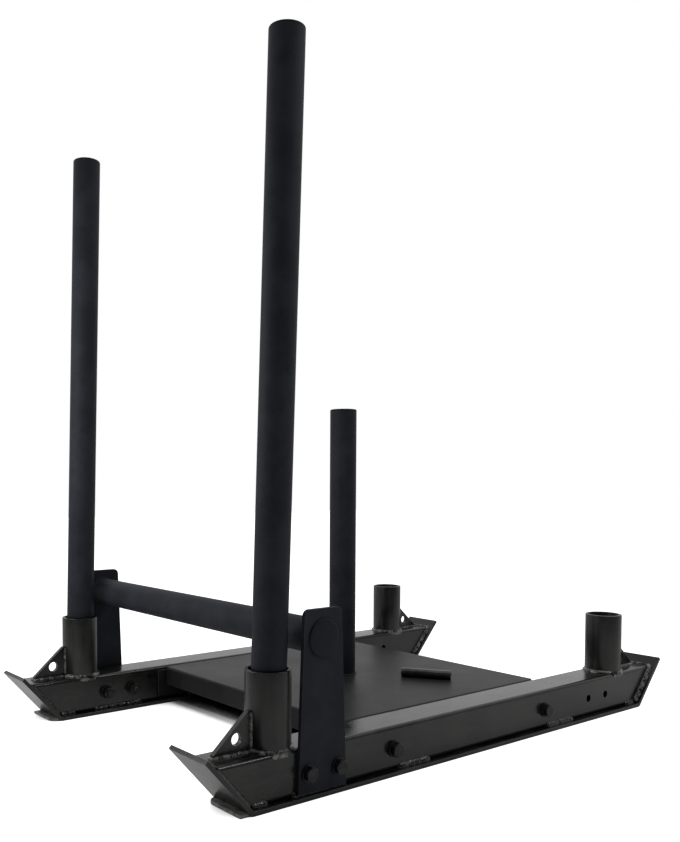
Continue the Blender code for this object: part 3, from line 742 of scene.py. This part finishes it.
class SLED_OT_welds(bpy.types.Operator):
    """Lays the weld beads of the sockets, tow plates, mitred ends, runners, post and bar"""

    bl_idname = "sled.welds"
    bl_label = "Welds"

    def socket_ring(self, shape, foot, radius, middle, seed, size):
        """A bead round a socket's foot, which drops over the tube's rounded corners and narrows there."""
        steps = 288
        narrower, sag, overhang = 0.45, 0.55, 0.0004
        stations = []
        for i in range(steps + 1):
            turn = 2 * math.pi * i / steps
            out = Vector((math.cos(turn), math.sin(turn), 0))
            beside = abs(out.y) * radius
            drop = tube_drop(beside)
            slope = min(1.0, drop / TUBE_CORNER)
            corner = foot + out * radius - UP * (drop + GAP)
            leg = size * (1 - narrower * slope)
            toe = foot + out * (radius + leg)
            over = max(0.0, abs(toe.y - middle) - TUBE_HALF)
            toe.y -= math.copysign(max(0.0, over - overhang), toe.y - middle)
            toe.z = foot.z - GAP - tube_drop(abs(toe.y - middle)) - sag * over
            rise = UP * (drop + GAP + leg)
            outward = (out + UP * (1 - slope)).normalized()
            stations.append((corner, rise, toe - corner, outward))
        bead(shape, stations, seed, size, closed=True)

    def tow_seams(self, shape, foot, radius, way, seed, size):
        """Beads round a tow plate's foot and up both sides of its joint with the socket."""
        ahead = Vector((way, 0, 0))
        side = Vector((0, 1, 0))
        edge = side * PLATE_HALF
        begin = math.sqrt(radius ** 2 - PLATE_HALF ** 2)
        start = foot - UP * GAP + ahead * begin
        end = start + ahead * (PLATE_REACH + radius - begin)
        stations = [corner_station(point, side, UP, size)
                    for point in line(start + edge + ahead * size, end + edge)]
        for first, second, place in ((side, ahead, edge), (ahead, -side, -edge)):
            for i in range(1, CORNER_STEPS + 1):
                turn = math.pi / 2 * i / CORNER_STEPS
                face = first * math.cos(turn) + second * math.sin(turn)
                stations.append(corner_station(end + place, face, UP, size))
            if second == ahead:
                for point in line(end + place, end - place)[1:-1]:
                    stations.append(corner_station(point, ahead, UP, size))
        for point in line(end - edge, start - edge + ahead * size):
            stations.append(corner_station(point, -side, UP, size))
        bead(shape, stations, seed, size)
        finer = 0.8 * size
        for sign in (1, -1):
            wall = (ahead * begin + edge * sign).normalized()
            base = start + edge * sign
            stations = [corner_station(point, side * sign, wall, finer)
                        for point in line(base + UP * size, base + UP * PLATE_RISE)]
            bead(shape, stations, seed + 3 * sign, finer)

    def mitre(self, shape, middle, way, seed, size):
        """A bead up both sides and over the top of the tube's mitred end, against the tip."""
        lift = 0.001                              # of the bead's ends, above the tube's underside
        on_top, beside = 0.6, 0.75                # of its leg: a share of its size, and how much more beside
        low, high = TUBE_FOOT + lift, TUBE_FOOT + 2 * TUBE_HALF
        flat = TUBE_HALF - TUBE_CORNER
        outline = []
        for point in line((TUBE_HALF, low, 0), (TUBE_HALF, high - TUBE_CORNER, 0)):
            outline.append((point.x, point.y, 1.0, 0.0))
        steps = 12
        for i in range(1, steps):
            turn = math.pi / 2 * i / steps
            outline.append((flat + TUBE_CORNER * math.cos(turn), high - TUBE_CORNER * (1 - math.sin(turn)),
                            math.cos(turn), math.sin(turn)))
        for point in line((flat, high, 0), (0, high, 0)):
            outline.append((point.x, point.y, 0.0, 1.0))
        outline += [(-y, z, -out, up) for y, z, out, up in reversed(outline[:-1])]
        plate = Vector((-way * math.sin(TIP_ANGLE), 0, math.cos(TIP_ANGLE)))
        stations = []
        for y, z, out, up in outline:
            x = way * (TIP_FOOT + (z - RUNNER_THICK) / math.tan(TIP_ANGLE))
            broad = size * (on_top + beside * abs(out))
            stations.append(corner_station(Vector((x, middle + y, z)), Vector((0, out, up)), plate, broad))
        bead(shape, stations, seed, size, lump=0.0007)

    def runner_stitches(self, shape, middle, side, seed):
        """Stitch welds in the groove between the tube's lower corner and the runner."""
        inset = 0.002                             # of the groove's root, from the tube's side
        upper_out, upper_up = 0.0021, 0.0072      # of the upper toe, from the root
        lower_out = 0.0062                        # of the lower toe
        size = 0.0042
        root = middle + side * (TUBE_HALF - inset)
        rise = Vector((0, side * upper_out, upper_up))
        run = Vector((0, side * lower_out, 0.0))
        outward = Vector((0, side, 1)).normalized()
        for number, (start, end) in enumerate(STITCHES):
            stations = [(point, rise, run, outward)
                        for point in line((start, root, RUNNER_THICK), (end, root, RUNNER_THICK))]
            bead(shape, stations, seed + number, size, lump=0.0009)

    def execute(self, context):
        size = context.scene.sled_sizes.bead
        for side, sign in SIDES.items():
            # rubbed welds carry pale grey dots painted on as glints
            rubbed, painted = bmesh.new(), bmesh.new()
            low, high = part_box(f"{side}_skid_tube")
            middle = (low.y + high.y) / 2
            for end, way in ENDS.items():
                foot, _, radius = axis_of(f"{side}_{end}_socket", UP)
                seed = 11 * sign + 5 * way
                self.socket_ring(rubbed, foot, radius, middle, seed, size)
                self.tow_seams(rubbed, foot, radius, way, seed + 1, 0.8 * size)
                self.mitre(rubbed if end == "front" else painted, middle, way, seed + 2, size)
            for way in (1, -1):
                self.runner_stitches(painted, middle, way, 20 * sign + 9 * way)
            piece(f"{side}_glint_painted_welds", rubbed, weld_enamel(), sharp=BEAD_SMOOTH)
            piece(f"{side}_painted_welds", painted, weld_enamel(rubbed=False),
                  sharp=BEAD_SMOOTH)
        self.post_weld(size=0.0025)
        self.push_bar_welds(size=0.003)
        return {"FINISHED"}

    def post_weld(self, size):
        """A bead round the weight post's foot."""
        shape = bmesh.new()
        foot, _, radius = axis_of("weight_post", UP)
        bead(shape, ring_stations(foot - UP * GAP, radius, UP, size), 31, size, closed=True)
        piece("post_weld", shape, powder_coat(), sharp=BEAD_SMOOTH)

    def push_bar_welds(self, size):
        """A bead round the push bar on each bracket's inner face."""
        shape = bmesh.new()
        across = Vector((0, 1, 0))
        foot, _, radius = axis_of("push_bar", across)
        for side, sign in SIDES.items():
            low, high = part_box(f"{side}_push_bar_bracket")
            face = high.y if sign < 0 else low.y
            centre = Vector((foot.x, face, foot.z))
            bead(shape, ring_stations(centre, radius, across * -sign, size), 37 + sign, size, closed=True)
        piece("push_bar_welds", shape, powder_coat(), sharp=BEAD_SMOOTH)


class SLED_OT_stage(bpy.types.Operator):
    """Lays the floor and sets the lights, the world and the camera"""

    bl_idname = "sled.stage"
    bl_label = "Stage"

    def floor(self, scene, settings):
        """A matte floor: white to the camera but for the shade by the sled, and faint in reflections."""
        shape = bmesh.new()
        bmesh.ops.create_grid(shape, x_segments=4, y_segments=4, size=8)
        mesh = bpy.data.meshes.new("floor")
        shape.to_mesh(mesh)
        shape.free()
        floor = bpy.data.objects.new("floor", mesh)
        scene.collection.objects.link(floor)
        material = bpy.data.materials.new("pale_matte_floor")
        material.use_nodes = True
        tree = material.node_tree
        shader = tree.nodes["Principled BSDF"]
        shader.inputs["Roughness"].default_value = 0.9
        rays = add_node(tree, "ShaderNodeLightPath").outputs
        seen = rays["Is Camera Ray"]
        mirrored = add_node(tree, "ShaderNodeMath", {0: rays["Is Glossy Ray"], 1: settings.mirrored_floor},
                            operation="MULTIPLY").outputs[0]
        shown = add_node(tree, "ShaderNodeMath", {0: seen, 1: mirrored}, operation="MAXIMUM").outputs[0]
        open_sky = add_node(tree, "ShaderNodeAmbientOcclusion", {"Distance": 0.30}, samples=32).outputs["AO"]
        core, fringe = ranged(tree, open_sky, 0.14, 0.36), ranged(tree, open_sky, 0.36, 0.62, 0.85, 1.0)
        lit = add_node(tree, "ShaderNodeMath", {0: core, 1: fringe}, operation="MULTIPLY").outputs[0]
        glow = add_node(tree, "ShaderNodeMath", {0: shown, 1: lit}, operation="MULTIPLY").outputs[0]
        bare = add_node(tree, "ShaderNodeMix", {0: seen, 2: 1.0, 3: lit}, data_type="FLOAT").outputs[0]
        paint = blended(tree, bare, (0, 0, 0, 1), (*scene.sled_colours.floor, 1))
        tree.links.new(paint, shader.inputs["Base Color"])
        shader.inputs["Emission Color"].default_value = (1, 1, 1, 1)
        tree.links.new(glow, shader.inputs["Emission Strength"])
        mesh.materials.append(material)

    def room(self, scene, settings):
        """A room that is dark behind the camera and bright behind the sled, and white to the camera."""
        world = bpy.data.worlds.new("studio")
        scene.world = world
        world.use_nodes = True
        tree = world.node_tree
        back = tree.nodes["Background"]
        way = add_node(tree, "ShaderNodeTexCoord").outputs["Generated"]
        behind_sled = (0.59, 0.81, 0.0)
        towards = add_node(tree, "ShaderNodeVectorMath", {0: way, 1: behind_sled},
                           operation="DOT_PRODUCT").outputs["Value"]
        height = add_node(tree, "ShaderNodeSeparateXYZ", {"Vector": way}).outputs["Z"]
        wall = ranged(tree, towards, -0.3, 0.4, settings.front_wall, settings.back_wall)
        rise = ranged(tree, height, 0.72, 0.92)
        wall = add_node(tree, "ShaderNodeMix", {0: rise, 2: wall, 3: settings.ceiling},
                        data_type="FLOAT").outputs[0]
        seen = add_node(tree, "ShaderNodeLightPath").outputs["Is Camera Ray"]
        shown = add_node(tree, "ShaderNodeMix", {0: seen, 2: wall, 3: 1.0}, data_type="FLOAT").outputs[0]
        tree.links.new(shown, back.inputs["Strength"])
        back.inputs["Color"].default_value = (1, 1, 1, 1)

    def lamp(self, name, power, place, aim, size):
        """A square lamp of this width that looks at a point."""
        light = bpy.data.lights.new(name, "AREA")
        light.energy = power
        light.size = size
        light.color = (1, 1, 1)
        thing = bpy.data.objects.new(name, light)
        thing.location = place
        thing.rotation_euler = (Vector(aim) - Vector(place)).to_track_quat("-Z", "Y").to_euler()
        bpy.context.scene.collection.objects.link(thing)

    def camera(self, scene, settings):
        """Where the photograph was taken from. The shift stands for what was cut off from the picture."""
        lens = bpy.data.cameras.new("camera")
        lens.lens = settings.lens
        lens.sensor_width = 36
        lens.sensor_fit = "AUTO"
        lens.shift_x = 0.1329
        lens.shift_y = 0.1135
        thing = bpy.data.objects.new("camera", lens)
        thing.location = (-1.1382, -1.1866, 0.4276)
        yaw, pitch = 0.9382, -0.0413
        ahead = Vector((math.cos(yaw) * math.cos(pitch), math.sin(yaw) * math.cos(pitch), math.sin(pitch)))
        thing.rotation_euler = ahead.to_track_quat("-Z", "Y").to_euler()
        scene.collection.objects.link(thing)
        scene.camera = thing

    def execute(self, context):
        scene = context.scene
        settings = scene.sled_stage
        self.floor(scene, settings)
        self.room(scene, settings)
        self.lamp("softbox", settings.key, place=(0.75, -1.3, 1.75), aim=(0, 0, 0), size=0.45)
        self.lamp("side_light", settings.fill, place=(-0.95, 0.25, 0.65), aim=(-0.35, 0.28, 0.5), size=0.5)
        self.camera(scene, settings)
        scene.view_settings.view_transform = "Standard"
        return {"FINISHED"}


class SLED_PT_panel(bpy.types.Panel):
    """The sled's pieces, sizes and colours"""

    bl_idname = "SLED_PT_panel"
    bl_label = "Weight sled"
    bl_space_type = "VIEW_3D"
    bl_region_type = "UI"
    bl_category = "Sled"

    def draw(self, context):
        for operator in OPERATORS:
            self.layout.operator(operator.bl_idname)
        for group in GROUPS:
            settings = getattr(context.scene, group)
            for name in settings.__annotations__:
                self.layout.prop(settings, name)


GROUPS = {"sled_sizes": SledSizes, "sled_colours": SledColours, "sled_stage": SledStage}
OPERATORS = (SLED_OT_skids, SLED_OT_deck, SLED_OT_tubes, SLED_OT_fasteners, SLED_OT_pin, SLED_OT_welds,
             SLED_OT_stage)
CLASSES = (*GROUPS.values(), *OPERATORS, SLED_PT_panel)


def register():
    for made in CLASSES:
        bpy.utils.register_class(made)
    for name, group in GROUPS.items():
        setattr(bpy.types.Scene, name, bpy.props.PointerProperty(type=group))


def unregister():
    for name in GROUPS:
        delattr(bpy.types.Scene, name)
    for made in reversed(CLASSES):
        bpy.utils.unregister_class(made)


def main():
    register()
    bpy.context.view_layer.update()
    bpy.ops.sled.skids()
    bpy.ops.sled.deck()
    bpy.ops.sled.tubes()
    bpy.ops.sled.fasteners()
    bpy.ops.sled.pin()
    bpy.ops.sled.welds()
    bpy.ops.sled.stage()


if __name__ == "__main__":
    main()
